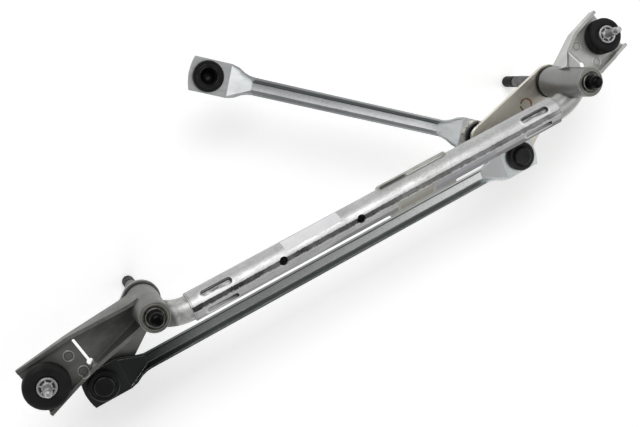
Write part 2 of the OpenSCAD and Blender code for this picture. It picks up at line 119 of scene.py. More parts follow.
class Shader:
    """A node material with one Principled surface and helpers that chain procedural nodes."""

    def __init__(self, name):
        self.mat = bpy.data.materials.new(name)
        self.mat.use_nodes = True
        self.tree = self.mat.node_tree
        self.tree.nodes.clear()
        self.out = self.add("ShaderNodeOutputMaterial")
        self.bsdf = self.add("ShaderNodeBsdfPrincipled")
        self.link(self.bsdf.outputs[0], self.out.inputs["Surface"])
        place = self.add("ShaderNodeVectorMath", operation="SUBTRACT")
        self.link(self.add("ShaderNodeTexCoord").outputs["Object"], place.inputs[0])
        place.inputs[1].default_value = LEFT_AXIS
        self.pos = place.outputs[0]

    def add(self, kind, **props):
        node = self.tree.nodes.new(kind)
        for key, value in props.items():
            setattr(node, key, value)
        return node

    def link(self, a, b):
        self.tree.links.new(a, b)

    def put(self, value, socket):
        """Links a socket, or sets a plain value."""
        if isinstance(value, bpy.types.NodeSocket):
            self.link(value, socket)
        else:
            socket.default_value = value

    def mapped(self, scale, turn=0.0):
        """Object position turned about Z by turn degrees, then scaled axis by axis."""
        node = self.add("ShaderNodeMapping", vector_type="POINT")
        self.link(self.pos, node.inputs["Vector"])
        node.inputs["Rotation"].default_value = (0, 0, math.radians(-turn))
        if turn:
            second = self.add("ShaderNodeMapping", vector_type="POINT")
            self.link(node.outputs[0], second.inputs["Vector"])
            node = second
        node.inputs["Scale"].default_value = scale
        return node.outputs[0]

    def local(self, origin, turn=0.0):
        """Position seen from origin, along axes turned about Z by turn degrees."""
        moved = self.add("ShaderNodeVectorMath", operation="SUBTRACT")
        self.link(self.pos, moved.inputs[0])
        moved.inputs[1].default_value = origin
        turned = self.add("ShaderNodeVectorRotate", rotation_type="Z_AXIS")
        self.link(moved.outputs[0], turned.inputs["Vector"])
        turned.inputs["Angle"].default_value = math.radians(-turn)
        return turned.outputs[0]

    def radius(self, centre, axis=(0, 0, 1)):
        """Distance from the line through centre along axis, and the height along that line."""
        moved = self.local(centre)
        height = self.add("ShaderNodeVectorMath", operation="DOT_PRODUCT")
        self.link(moved, height.inputs[0])
        height.inputs[1].default_value = axis
        along = self.add("ShaderNodeVectorMath", operation="SCALE")
        along.inputs[0].default_value = axis
        self.link(height.outputs["Value"], along.inputs["Scale"])
        across = self.add("ShaderNodeVectorMath", operation="SUBTRACT")
        self.link(moved, across.inputs[0])
        self.link(along.outputs[0], across.inputs[1])
        length = self.add("ShaderNodeVectorMath", operation="LENGTH")
        self.link(across.outputs[0], length.inputs[0])
        return length.outputs["Value"], height.outputs["Value"]

    def noise(self, scale, detail=3.0, rough=0.5, vector=None, distort=0.0):
        """Smooth random values around 0.5, scale of them to a metre."""
        node = self.add("ShaderNodeTexNoise")
        self.link(vector or self.pos, node.inputs["Vector"])
        node.inputs["Scale"].default_value = scale
        node.inputs["Detail"].default_value = detail
        node.inputs["Roughness"].default_value = rough
        node.inputs["Distortion"].default_value = distort
        return node.outputs[0]

    def cells(self, scale, colour=False):
        """Crystal-like cells: the distance to each cell's middle, or a colour for each cell."""
        node = self.add("ShaderNodeTexVoronoi")
        self.link(self.pos, node.inputs["Vector"])
        node.inputs["Scale"].default_value = scale
        return node.outputs["Color" if colour else "Distance"]

    def span(self, value, lo, hi, to_lo=0.0, to_hi=1.0, smooth=False):
        """Maps lo to to_lo and hi to to_hi, and stays level outside them."""
        node = self.add("ShaderNodeMapRange", clamp=True)
        if smooth:
            node.interpolation_type = "SMOOTHSTEP"
        self.put(value, node.inputs["Value"])
        node.inputs["From Min"].default_value = lo
        node.inputs["From Max"].default_value = hi
        node.inputs["To Min"].default_value = to_lo
        node.inputs["To Max"].default_value = to_hi
        return node.outputs["Result"]

    def math(self, kind, a, b=0.0):
        """One Math node: kind is its operation, and a and b are sockets or numbers."""
        node = self.add("ShaderNodeMath", operation=kind)
        self.put(a, node.inputs[0])
        self.put(b, node.inputs[1])
        return node.outputs[0]

    def times(self, a, b):
        return self.math("MULTIPLY", a, b)

    def plus(self, a, b):
        return self.math("ADD", a, b)

    def minus(self, a, b):
        return self.math("SUBTRACT", a, b)

    def mix(self, factor, a, b):
        """Colour a where factor is 0 and colour b where it is 1."""
        node = self.add("ShaderNodeMix", data_type="RGBA")
        self.put(factor, node.inputs[0])
        for value, socket in ((a, node.inputs[6]), (b, node.inputs[7])):
            self.put(value if isinstance(value, bpy.types.NodeSocket) else (*value, 1), socket)
        return node.outputs[2]

    def axis(self, letter, vector=None):
        node = self.add("ShaderNodeSeparateXYZ")
        self.link(vector or self.pos, node.inputs[0])
        return node.outputs[letter]

    def band(self, value, lo, hi, soft):
        """1 between lo and hi, falling to 0 over soft at each side."""
        up = self.span(value, lo - soft, lo + soft, smooth=True)
        down = self.span(value, hi - soft, hi + soft, 1.0, 0.0, smooth=True)
        return self.times(up, down)

    def edges(self, radius):
        """1 on sharp edges, from the difference between the rounded and the true normal."""
        bevel = self.add("ShaderNodeBevel", samples=4)
        bevel.inputs["Radius"].default_value = radius
        geometry = self.add("ShaderNodeNewGeometry")
        dot = self.add("ShaderNodeVectorMath", operation="DOT_PRODUCT")
        self.link(bevel.outputs[0], dot.inputs[0])
        self.link(geometry.outputs["Normal"], dot.inputs[1])
        return self.span(dot.outputs["Value"], 0.75, 0.98, 1.0, 0.0)

    def bump(self, height, strength, distance, radius=0.0):
        """Surface relief from a height, on edges that look rounded by radius."""
        node = self.add("ShaderNodeBump")
        node.inputs["Strength"].default_value = strength
        node.inputs["Distance"].default_value = distance
        self.link(height, node.inputs["Height"])
        if radius:
            bevel = self.add("ShaderNodeBevel", samples=4)
            bevel.inputs["Radius"].default_value = radius
            self.link(bevel.outputs[0], node.inputs["Normal"])
        self.link(node.outputs[0], self.bsdf.inputs["Normal"])

    def finish(self, colour, rough, metallic, **sockets):
        """Feeds the surface, and returns the material."""
        self.put(colour, self.bsdf.inputs["Base Color"])
        self.put(rough, self.bsdf.inputs["Roughness"])
        self.bsdf.inputs["Metallic"].default_value = metallic
        for key, value in sockets.items():
            self.bsdf.inputs[key.replace("_", " ")].default_value = value
        return self.mat


def sheet_metal(name, light, dark, stain, rough, turn=0.0, zones=()):
    """Zinc-coated pressed steel: draw lines, blotches, fine spangle, scuffs and bright edges."""
    s = Shader(name)
    lines = s.noise(1.0, 4, 0.6, s.mapped((9, 330, 330), turn))
    blotch = s.noise(42, 4, 0.55)
    spangle = s.cells(620, colour=True)
    spangle = s.span(s.axis("X", spangle), 0, 1)
    fine = s.noise(1400, 3, 0.6)
    colour = s.mix(s.span(blotch, 0.32, 0.7), dark, light)
    colour = s.mix(s.span(lines, 0.35, 0.75, 0.0, 0.45), colour, light)
    colour = s.mix(s.span(spangle, 0, 1, 0, 0.16), colour, stain)
    scuffs = s.span(s.noise(1.0, 2, 0.5, s.mapped((60, 700, 700), turn + 24)), 0.66, 0.72)
    colour = s.mix(s.times(scuffs, 0.35), colour, light)
    spots = s.span(s.noise(190, 2, 0.6), 0.69, 0.74)
    colour = s.mix(s.times(spots, 0.4), colour, stain)
    edge_highlight_and_wear = s.edges(0.0006)
    colour = s.mix(s.times(edge_highlight_and_wear, 0.55), colour, [min(1, c * 1.25) for c in light])
    roughness = s.span(blotch, 0.3, 0.7, rough + 0.07, rough - 0.05)
    roughness = s.plus(roughness, s.span(lines, 0.3, 0.7, -0.05, 0.06))
    for make in zones:
        colour, roughness = make(s, colour, roughness)
    height = s.plus(s.times(lines, 0.8), s.times(fine, 0.35))
    height = s.plus(height, s.times(s.noise(260, 3), 0.5))
    s.bump(height, 0.55, 0.00012, 0.0004)
    return s.finish(colour, roughness, 1.0)


def casting(name, light, dark, stain, rough, zones=()):
    """Die-cast alloy: pebbled skin, flow marks, and edges lightened as painted highlights on worn rims."""
    s = Shader(name)
    blotch = s.noise(38, 4, 0.6, distort=0.4)
    flow = s.noise(1.0, 4, 0.6, s.mapped((60, 150, 60), 12))
    pebble = s.noise(900, 4, 0.65)
    pits = s.cells(700)
    colour = s.mix(s.span(blotch, 0.3, 0.7), dark, light)
    colour = s.mix(s.span(flow, 0.42, 0.66, 0, 0.4), colour, stain)
    colour = s.mix(s.span(pebble, 0.3, 0.75, 0.22, 0), colour, dark)
    # Painted highlights along the flange rims and other edges, which are also worn
    edge_highlight_and_wear = s.edges(0.0007)
    colour = s.mix(s.times(edge_highlight_and_wear, 0.75), colour, [min(1, c * 1.9) for c in light])
    roughness = s.span(blotch, 0.3, 0.7, rough + 0.06, rough - 0.06)
    roughness = s.plus(roughness, s.span(pebble, 0.3, 0.7, -0.04, 0.05))
    for make in zones:
        colour, roughness = make(s, colour, roughness)
    height = s.plus(s.times(pebble, 0.7), s.times(s.span(pits, 0, 0.5), 0.35))
    height = s.plus(height, s.times(s.noise(170, 3), 0.8))
    s.bump(height, 0.5, 0.00022, 0.0006)
    return s.finish(colour, roughness, 0.75)


def turned_steel(name, light, dark, rough, zones=()):
    """Turned and plated steel: fine rings round the axis and small stains."""
    s = Shader(name)
    rings = s.noise(1.0, 3, 0.6, s.mapped((60, 60, 2600)))
    blotch = s.noise(120, 4, 0.6)
    colour = s.mix(s.span(blotch, 0.35, 0.68), dark, light)
    colour = s.mix(s.span(rings, 0.4, 0.7, 0, 0.35), colour, light)
    colour = s.mix(s.times(s.edges(0.0004), 0.6), colour, [min(1, c * 1.5 + 0.04) for c in light])
    roughness = s.span(blotch, 0.3, 0.7, rough + 0.08, rough - 0.05)
    roughness = s.plus(roughness, s.span(rings, 0.3, 0.7, -0.04, 0.06))
    for make in zones:
        colour, roughness = make(s, colour, roughness)
    s.bump(s.plus(rings, s.times(s.noise(1100, 3), 0.5)), 0.4, 0.00008, 0.0003)
    return s.finish(colour, roughness, 1.0)


def polymer(name, light, dark, rough, grit, level=0.5, round_by=0.0005, zones=()):
    """Moulded rubber or plastic: fine texture, patches of dust and lighter edges."""
    s = Shader(name)
    blotch = s.noise(90, 4, 0.6)
    fine = s.noise(1500, 3, 0.6)
    colour = s.mix(s.span(blotch, 0.35, 0.7), dark, light)
    dust = s.span(s.noise(420, 4, 0.7), 0.62, 0.78, 0, 0.22)
    colour = s.mix(dust, colour, [c * 2.2 + 0.012 for c in light])
    colour = s.mix(s.times(s.edges(0.0005), 0.5), colour, [c * 1.9 + 0.01 for c in light])
    roughness = s.span(blotch, 0.3, 0.7, rough + 0.07, rough - 0.07)
    roughness = s.plus(roughness, s.span(fine, 0.3, 0.7, -0.04, 0.05))
    for make in zones:
        colour, roughness = make(s, colour, roughness)
    s.bump(s.plus(fine, s.times(s.noise(300, 3), 0.6)), grit, 0.0001, round_by)
    return s.finish(colour, roughness, 0.0, Specular_IOR_Level=level)


def socket_ring_highlight_zone(centre):
    """Moulding rings round a socket's axis, with painted highlights on their crests."""
    def make(s, colour, rough):
        radius, _ = s.radius(centre)
        outer = s.band(radius, 0.0098, 0.0101, 0.0001)
        inner = s.band(radius, 0.0078, 0.0081, 0.0001)
        # Painted highlights on the rings' crests
        crest_highlight = s.times(s.plus(outer, inner), s.span(s.noise(160, 3), 0.42, 0.6))
        return s.mix(s.times(crest_highlight, 0.5), colour, (0.12, 0.12, 0.12)), rough
    return make


def groove_shade_zone(s, colour, rough):
    """Painted shade as a dark band in the pressed groove, with an uneven edge that fades past the holes."""
    y = s.axis("Y")
    z = s.axis("Z")
    x = s.axis("X")
    wave = s.span(s.noise(1.0, 4, 0.75, s.mapped((260, 300, 300))), 0.3, 0.7, -0.0006, 0.0006)
    across = s.plus(y, wave)
    # Painted shade along the groove
    groove_shade = s.band(across, TUBE_Y - 0.0021, TUBE_Y + 0.0022, 0.0003)
    groove_shade = s.times(groove_shade, s.span(z, 0.034, 0.036))
    fade = s.span(s.noise(1.0, 3, 0.6, s.mapped((45, 10, 10))), 0.35, 0.6, 0.75, 1.0)
    groove_shade = s.times(groove_shade, fade)
    groove_shade = s.times(groove_shade, s.span(x, 0.2, 0.25, 1.0, 0.72))
    groove_shade = s.times(groove_shade, s.span(x, 0.385, 0.4, 1.0, 0.4))
    colour = s.mix(s.times(groove_shade, 0.9), colour, (0.018, 0.018, 0.017))
    rough = s.plus(rough, s.times(groove_shade, 0.2))
    return colour, rough


def lower_zone(s, colour, rough):
    """Painted shade greys the tube's lower near side, where the skin is also duller; an oxide patch and a
    violet one beside the motor saddle, and specks where the welding heated the zinc."""
    y = s.axis("Y")
    x = s.axis("X")
    low = s.span(y, -0.0195, -0.0205)
    wave = s.span(s.noise(1.0, 3, 0.6, s.mapped((90, 90, 90))), 0.3, 0.7, -0.002, 0.002)
    along = s.plus(x, wave)
    # Painted shade greys the lower near side
    lower_side_shade = s.times(low, 0.4)
    colour = s.mix(lower_side_shade, colour, (0.45, 0.45, 0.455))
    patch = s.times(low, s.band(along, 0.225, 0.261, 0.0015))
    colour = s.mix(s.times(patch, 0.7), colour, (0.43, 0.42, 0.36))
    violet = s.times(low, s.band(along, 0.262, 0.327, 0.0012))
    colour = s.mix(s.times(violet, 0.6), colour, (0.42, 0.42, 0.45))
    rough = s.plus(rough, s.times(low, 0.12))
    heat = s.band(along, 0.216, 0.286, 0.004)
    specks = s.span(s.noise(520, 4, 0.7), 0.52, 0.62)
    mark = s.times(s.times(heat, specks), 0.35)
    colour = s.mix(mark, colour, (0.5, 0.48, 0.41))
    rough = s.plus(rough, s.times(mark, 0.5))
    return colour, rough


def tube_angle(s):
    """Angle round the tube from +Z towards -Y, in radians."""
    near = s.minus(TUBE_Y, s.axis("Y"))
    up = s.minus(s.axis("Z"), TUBE_Z)
    return s.math("ARCTAN2", near, up)


def tube_shading_and_grain_zone(s, colour, rough):
    """Painted shade on the duller far side and on the lower flank, two painted highlight lines on the flank
    that end in a leaf shape, brushed grain, and a dark seam at each end."""
    angle, x = tube_angle(s), s.axis("X")
    wander = s.span(s.noise(1.0, 4, 0.6, s.mapped((50, 25, 25))), 0.3, 0.7, -0.12, 0.12)
    # Painted shade on the tube's far side
    far = s.span(s.plus(angle, wander), -0.95, -0.3, 0.6, 0.0, smooth=True)
    colour = s.mix(far, colour, (0.4, 0.405, 0.4))
    # Painted shade on the lower flank
    flank = s.span(angle, 0.72, 0.76)
    fade = s.span(x, 0.13, 0.165, 1.0, 0.0)
    inner = s.times(s.band(angle, 0.86, 0.93, 0.02), fade)
    outer = s.times(s.band(angle, 1.02, 1.1, 0.02), fade)
    # Painted highlights: two lines along the flank that end in a leaf shape
    flank_highlight = s.math("MAXIMUM", inner, outer)
    leaf = s.times(s.band(x, 0.122, 0.165, 0.02), s.band(angle, 0.72, 0.88, 0.04))
    colour = s.mix(s.times(flank, 0.85), colour, (0.17, 0.17, 0.17))
    colour = s.mix(s.times(s.math("MAXIMUM", flank_highlight, leaf), 0.85), colour, (0.62, 0.62, 0.61))
    grain = s.noise(1.0, 4, 0.75, s.mapped((260, 900, 900)))
    colour = s.mix(s.span(grain, 0.5, 0.68, 0.0, 0.32), colour, (0.3, 0.305, 0.3))
    colour = s.mix(s.span(grain, 0.48, 0.3, 0.0, 0.25), colour, (0.9, 0.9, 0.89))
    for end in TUBE_ENDS:
        seam = s.band(x, end, end + 0.5 * MM, 0.2 * MM)
        colour = s.mix(s.times(seam, 0.6), colour, (0.1, 0.1, 0.1))
    rough = s.plus(rough, s.span(grain, 0.35, 0.65, -0.03, 0.05))
    return colour, s.plus(rough, s.times(far, 0.1))


def dimple_shading_zone(s, colour, rough):
    """Painted light and shade in and round the crimp dimples: painted shade on the far walls, painted
    highlights on the near lips, and floors streaked dark and light.
    """
    angle, x = tube_angle(s), s.axis("X")
    for centre in DIMPLE_MIDDLES:
        for turn, width in DIMPLE_ROWS:
            along = s.minus(x, centre)
            straight = (DIMPLE_LENGTH - width) / 2
            beyond = s.math("MAXIMUM", s.minus(s.math("ABSOLUTE", along), straight), 0.0)
            arc = s.times(s.minus(angle, math.radians(turn)), TUBE_R)
            reach = s.math("SQRT", s.plus(s.math("POWER", beyond, 2.0), s.math("POWER", arc, 2.0)))
            edge = s.minus(reach, width / 2)
            floor_mask = s.span(edge, -0.0006, -0.0012)
            wall = s.band(edge, -0.0015, 0.0003, 0.0003)
            lip = s.band(edge, 0.0003, 0.0022, 0.0006)
            lean = s.plus(s.times(arc, -1.0), s.times(along, 0.16))
            # Side of each dimple whose wall takes painted shade; the other wall is painted light
            wall_shade_side = s.span(lean, -0.0022, 0.0004)
            streaks = s.span(s.noise(1.0, 3, 0.7, s.mapped((160, 1100, 1100))), 0.42, 0.6)
            floor_tone = s.mix(streaks, (0.07, 0.07, 0.07), (0.55, 0.55, 0.55))
            wall_shading = s.mix(wall_shade_side, (0.7, 0.7, 0.7), (0.03, 0.03, 0.03))
            colour = s.mix(s.times(floor_mask, 0.85), colour, floor_tone)
            colour = s.mix(s.times(wall, 0.92), colour, wall_shading)
            # Painted highlight on the near lips
            bright = s.times(lip, s.span(wall_shade_side, 0.2, 0.9, 0.75, 0.1))
            colour = s.mix(bright, colour, (0.85, 0.85, 0.85))
    return colour, rough


def mark_highlight_zone(pivot_x, tilt, places):
    """Painted highlight rings, darker within, where the ejector pins pushed, on a mounting arm tilted about
    X.
    """
    turn = math.radians(tilt)
    axis = (0.0, math.sin(turn), math.cos(turn))

    def make(s, colour, rough):
        for along, across in places:
            centre = (pivot_x + along, across * math.cos(turn), ARM_Z - across * math.sin(turn))
            radius, height = s.radius(centre, axis)
            wobble = s.span(s.noise(300, 3), 0.3, 0.7, -0.0003, 0.0003)
            reach = s.plus(radius, wobble)
            on_arm = s.span(height, 0.012, 0.011)
            inside = s.times(s.band(reach, 0.0026, 0.0036, 0.0003), on_arm)
            # Painted highlight on each mark's rim
            rim = s.times(s.band(reach, 0.0039, 0.0047, 0.0002), on_arm)
            colour = s.mix(s.times(inside, 0.45), colour, (0.07, 0.07, 0.068))
            colour = s.mix(s.times(rim, 0.45), colour, (0.7, 0.7, 0.68))
        return colour, rough
    return make


def insert_shade_zone(s, colour, rough):
    """Painted shade in the hollows between the ribs of each insert's face."""
    for centre, axis in PIN_FACES:
        radius, height = s.radius(centre, axis)
        hollow_shade = s.times(s.band(radius, 0.0043, 0.0063, 0.0002), s.span(height, 0.0003, 0.0))
        rim = s.band(radius, 0.0076, 0.0083, 0.0002)
        colour = s.mix(s.times(hollow_shade, 0.92), colour, (0.03, 0.03, 0.03))
        colour = s.mix(s.times(rim, 0.4), colour, (0.3, 0.3, 0.3))
    return colour, rough


def lip_seam_shade_zone(s, colour, rough):
    """Painted shade of an open seam along the first third of the saddle's far lip."""
    lip = s.span(s.axis("Z"), 0.0292, 0.0299)
    seam = s.times(s.span(s.axis("X"), 0.241, 0.244, 1.0, 0.0), s.span(s.axis("Y"), TUBE_Y, 0.0))
    colour = s.mix(s.times(s.times(lip, seam), 0.92), colour, (0.03, 0.03, 0.028))
    return colour, rough


def ring_zone(s, colour, rough):
    """Yellow and red inspection ring marked on the lever."""
    x = s.minus(s.axis("X"), RING_MARK[0])
    y = s.minus(s.axis("Y"), RING_MARK[1])
    wave = s.span(s.noise(300, 3), 0.3, 0.7, -0.0005, 0.0005)
    radius = s.plus(s.radius(RING_MARK)[0], wave)
    ring = s.band(radius, 0.0048, 0.0064, 0.0003)
    ring = s.times(ring, s.span(s.noise(260, 3), 0.33, 0.45))
    side = s.span(s.plus(x, s.times(y, 0.4)), -0.002, 0.003)
    tint = s.mix(side, (0.16, 0.16, 0.04), (0.36, 0.15, 0.09))
    return s.mix(s.times(ring, 0.95), colour, tint), rough


def channel_zone(origin, turn, length, rims, flanks, folds, floors, far_floors, ramps):
    """Painted light and shade on a pressed rod whose ball is at origin. Each pair of tones runs from its -Y
    side to its +Y side, lit on one and shaded on the other: rims on top, flanks inside, folds at the flanks'
    feet, and the floor, shaded across, at the near and at the far end. The ramps to the plates are triangles,
    given for the near end and the far end."""
    def make(s, colour, rough):
        place = s.local(origin, turn)
        along = s.axis("X", place)
        inward = s.math("MINIMUM", along, s.minus(length, along))
        wander = s.span(s.noise(1.0, 3, 0.6, s.mapped((14, 14, 14))), 0.3, 0.7, -0.0003, 0.0003)
        across = s.plus(s.axis("Y", place), wander)
        away = s.math("ABSOLUTE", across)
        side = s.span(across, -0.0003, 0.0003)
        body = s.span(inward, RAMP_END - 1.5 * MM, RAMP_END + 1 * MM)
        slope = s.times(
            s.span(inward, RAMP_START + 0.2 * MM, RAMP_START + 0.7 * MM),
            s.span(inward, RAMP_END + 1 * MM, RAMP_END - 1.5 * MM),
        )
        top = s.span(s.axis("Z", place), 0.0, 0.0005)

        # Painted light and shade: rims, flanks and folds are lit on one side of the rod and shaded on the
        # other
        rim = s.times(s.times(body, top), s.span(away, RIM_HALF - 0.1 * MM, RIM_HALF + 0.2 * MM))
        colour = s.mix(s.times(rim, 0.85), colour, s.mix(side, *rims))
        flank = s.times(body, s.band(away, FLOOR_HALF, RIM_HALF, 0.2 * MM))
        colour = s.mix(s.times(flank, 0.9), colour, s.mix(side, *flanks))
        # Painted shading across the floor, changing from the near end to the far end
        floor_shading_grade = s.span(across, -FLOOR_HALF, FLOOR_HALF, smooth=True)
        floor_tone = s.mix(
            s.span(along, 0.1 * length, 0.75 * length), s.mix(floor_shading_grade, *floors), s.mix(floor_shading_grade, *far_floors)
        )
        streaks = s.noise(1.0, 4, 0.75, s.mapped((330, 1300, 1300), turn))
        floor_tone = s.mix(s.span(streaks, 0.5, 0.68, 0.0, 0.35), floor_tone, (0.75, 0.8, 0.79))
        floor_tone = s.mix(s.span(streaks, 0.48, 0.32, 0.0, 0.45), floor_tone, (0.12, 0.13, 0.13))
        bottom = s.times(body, s.span(away, FLOOR_HALF + 0.1 * MM, FLOOR_HALF - 0.1 * MM))
        colour = s.mix(s.times(bottom, 0.9), colour, floor_tone)

        half = s.span(inward, RAMP_START, RAMP_END, PLATE_HALF, FLOOR_HALF + 0.1 * MM)
        past = s.minus(away, half)
        facet = s.times(slope, s.span(past, 0.0002, -0.0002))
        beside = s.times(slope, s.span(past, -0.0002, 0.0002))
        # Ramps painted in shade at one end of the rod and lit at the other
        ramp = s.mix(s.span(along, 0.2 * length, 0.8 * length), *ramps)
        colour = s.mix(s.times(facet, 0.9), colour, ramp)
        colour = s.mix(s.times(beside, 0.6), colour, s.mix(0.5, s.mix(side, *flanks), ramp))
        # Painted highlight lines along the ramps' creases and across their feet
        crease_highlight = s.times(slope, s.span(s.math("ABSOLUTE", past), 0.0007, 0.0003))
        fold = s.times(body, s.band(away, 0.003, 0.0039, 0.0002))
        colour = s.mix(s.times(fold, 0.7), colour, s.mix(side, *folds))
        foot = s.times(s.band(inward, 0.0182, 0.0188, 0.0002), s.span(away, 0.014, 0.0125))
        lines = s.math("MAXIMUM", crease_highlight, foot)
        colour = s.mix(s.times(lines, 0.65), colour, (0.82, 0.85, 0.86))
        return colour, rough
    return make


def link_end_shade_zone(s, colour, rough):
    """Painted shade over the link rod's left plate, weaker on its edges so that they stay light."""
    x = s.axis("X")
    wave = s.span(s.noise(70, 3, 0.6), 0.3, 0.7, -0.004, 0.004)
    # Painted shade, fading out towards the rod's middle
    dark = s.span(s.plus(x, wave), -0.028, 0.05, 0.97, 0.0, smooth=True)
    dark = s.times(dark, s.span(s.edges(0.0007), 0.1, 0.6, 1.0, 0.35))
    return s.mix(dark, colour, (0.022, 0.023, 0.023)), s.plus(rough, s.times(dark, 0.12))


def rust_zone(s, colour, rough):
    """Small rust-brown stains on the motor rod round the socket that rides on the lever."""
    radius, _ = s.radius(MOTOR_BALL)
    near = s.times(s.span(radius, 0.013, 0.0135), s.span(radius, 0.019, 0.0155))
    stain = s.times(near, s.span(s.noise(330, 4, 0.7), 0.55, 0.62))
    return s.mix(s.times(stain, 0.8), colour, (0.16, 0.07, 0.035)), s.plus(rough, stain)


def barrel_shade_zone(centre, shade):
    """Painted shade on a barrel, whose skin is also smoother there, and an olive machined end face with a
    painted highlight on its rim.
    """
    def make(s, colour, rough):
        radius, _ = s.radius(centre)
        # Painted shade on the barrel
        near = s.span(radius, 0.0152, 0.0142)
        colour = s.mix(s.times(near, shade), colour, (0.12, 0.12, 0.118))
        face = s.times(s.span(s.axis("Z"), 0.0604, 0.0612), s.span(radius, 0.0116, 0.0114))
        colour = s.mix(s.times(face, 0.8), colour, (0.3, 0.295, 0.26))
        # Painted highlight on the rim at the barrel's end
        ring = s.times(s.band(radius, 0.0117, 0.0125, 0.0002), s.span(s.axis("Z"), 0.058, 0.061))
        colour = s.mix(s.times(ring, 0.12), colour, (0.6, 0.6, 0.57))
        return colour, s.plus(rough, s.times(near, -0.05))
    return make


def washer_highlight_zone(s, colour, rough):
    """Painted highlights on each retaining ring's chamfer and on the rim of the washer under it, broken up in
    patches.
    """
    highlight_breakup = s.span(s.noise(240, 3), 0.4, 0.5, 0.15, 1.0)
    for centre in ((0, 0, 0), RIGHT_AXIS):
        radius, _ = s.radius(centre)
        chamfer = s.band(radius, 0.0071, 0.0078, 0.0001)
        rim = s.band(radius, 0.0088, 0.0094, 0.0001)
        lines = s.math("MAXIMUM", chamfer, rim)
        colour = s.mix(s.times(s.times(lines, highlight_breakup), 0.55), colour, (0.42, 0.41, 0.37))
    return colour, rough


def neck_zone(s, colour, rough):
    """The neck towards the tube is lighter, wrinkled by the metal's flow."""
    neck = s.span(s.axis("X"), 0.0135, 0.017)
    cloud = s.span(s.noise(140, 4, 0.7, distort=1.2), 0.4, 0.62)
    tone = s.mix(cloud, (0.38, 0.38, 0.37), (0.62, 0.62, 0.61))
    return s.mix(s.times(neck, 0.85), colour, tone), rough


def dome_zone(s, colour, rough):
    """Black oiled end of a spindle."""
    dome = s.span(s.axis("Z"), 0.0615, 0.0625)
    colour = s.mix(s.times(dome, 0.97), colour, (0.006, 0.006, 0.006))
    return colour, s.plus(rough, s.times(dome, -0.1))


MATERIALS = {
    "galvanised_tube": sheet_metal(
        "galvanised_tube", (0.82, 0.82, 0.82), (0.6, 0.6, 0.6), (0.42, 0.42, 0.42), 0.5,
        zones=(tube_shading_and_grain_zone, lower_zone, dimple_shading_zone, groove_shade_zone),
    ),
    "saddle_steel": sheet_metal(
        "saddle_steel", (0.56, 0.56, 0.53), (0.34, 0.335, 0.31), (0.2, 0.195, 0.175), 0.46, zones=(lip_seam_shade_zone,)
    ),
    "blank_label": polymer("blank_label", (0.74, 0.74, 0.75), (0.68, 0.68, 0.69), 0.42, 0.1),
    "cast_grey": casting(
        "cast_grey", (0.17, 0.17, 0.163), (0.1, 0.1, 0.095), (0.215, 0.215, 0.205), 0.46,
        zones=(barrel_shade_zone((0, 0, 0), 0.1), neck_zone, mark_highlight_zone(0.0, LEFT_TILT, LEFT_MARKS)),
    ),
    "cast_light": casting(
        "cast_light", (0.52, 0.52, 0.5), (0.42, 0.42, 0.41), (0.58, 0.58, 0.56), 0.4,
        zones=(barrel_shade_zone(RIGHT_AXIS, 0.75), mark_highlight_zone(SPAN, RIGHT_TILT, RIGHT_MARKS)),
    ),
    "sintered_bronze": turned_steel("sintered_bronze", (0.4, 0.29, 0.16), (0.26, 0.18, 0.1), 0.5),
    "rubber": polymer("rubber", (0.009, 0.009, 0.0095), (0.004, 0.004, 0.0045), 0.56, 0.35, level=0.2),
    "zinc_casting": casting(
        "zinc_casting", (0.6, 0.6, 0.6), (0.38, 0.38, 0.38), (0.3, 0.3, 0.3), 0.34, zones=(insert_shade_zone,)
    ),
    "dark_steel": turned_steel(
        "dark_steel", (0.13, 0.13, 0.13), (0.07, 0.07, 0.072), 0.36, zones=(dome_zone,)
    ),
    "zinc_plate": sheet_metal(
        "zinc_plate", (0.32, 0.32, 0.31), (0.22, 0.22, 0.21), (0.16, 0.16, 0.15), 0.42, turn=38
    ),
    "chromated_plate": sheet_metal(
        "chromated_plate", (0.72, 0.69, 0.62), (0.58, 0.55, 0.48), (0.48, 0.44, 0.35), 0.38, turn=25,
        zones=(ring_zone,),
    ),
    "ball_steel": turned_steel("ball_steel", (0.62, 0.62, 0.64), (0.5, 0.5, 0.52), 0.2),
    "washer_steel": turned_steel(
        "washer_steel", (0.07, 0.07, 0.067), (0.03, 0.03, 0.029), 0.34, zones=(washer_highlight_zone,)
    ),
    "black_plastic": polymer(
        "black_plastic", (0.009, 0.009, 0.009), (0.004, 0.004, 0.004), 0.5, 0.2, level=0.1
    ),
    "rod_steel": sheet_metal(
        "rod_steel", (0.62, 0.65, 0.65), (0.46, 0.49, 0.49), (0.36, 0.38, 0.37), 0.32,
        zones=(
            channel_zone(
                LINK_LEFT_BALL, 0, SPAN,
                rims=((0.14, 0.15, 0.148), (0.6, 0.62, 0.61)),
                flanks=((0.5, 0.53, 0.52), (0.16, 0.17, 0.167)),
                folds=((1.0, 1.0, 1.0), (0.1, 0.11, 0.107)),
                floors=((0.26, 0.29, 0.28), (0.16, 0.18, 0.173)),
                far_floors=((0.9, 0.92, 0.91), (0.8, 0.82, 0.81)),
                ramps=((0.14, 0.15, 0.147), (0.97, 1.0, 1.0)),
            ),
            link_end_shade_zone,
        ),
    ),
}
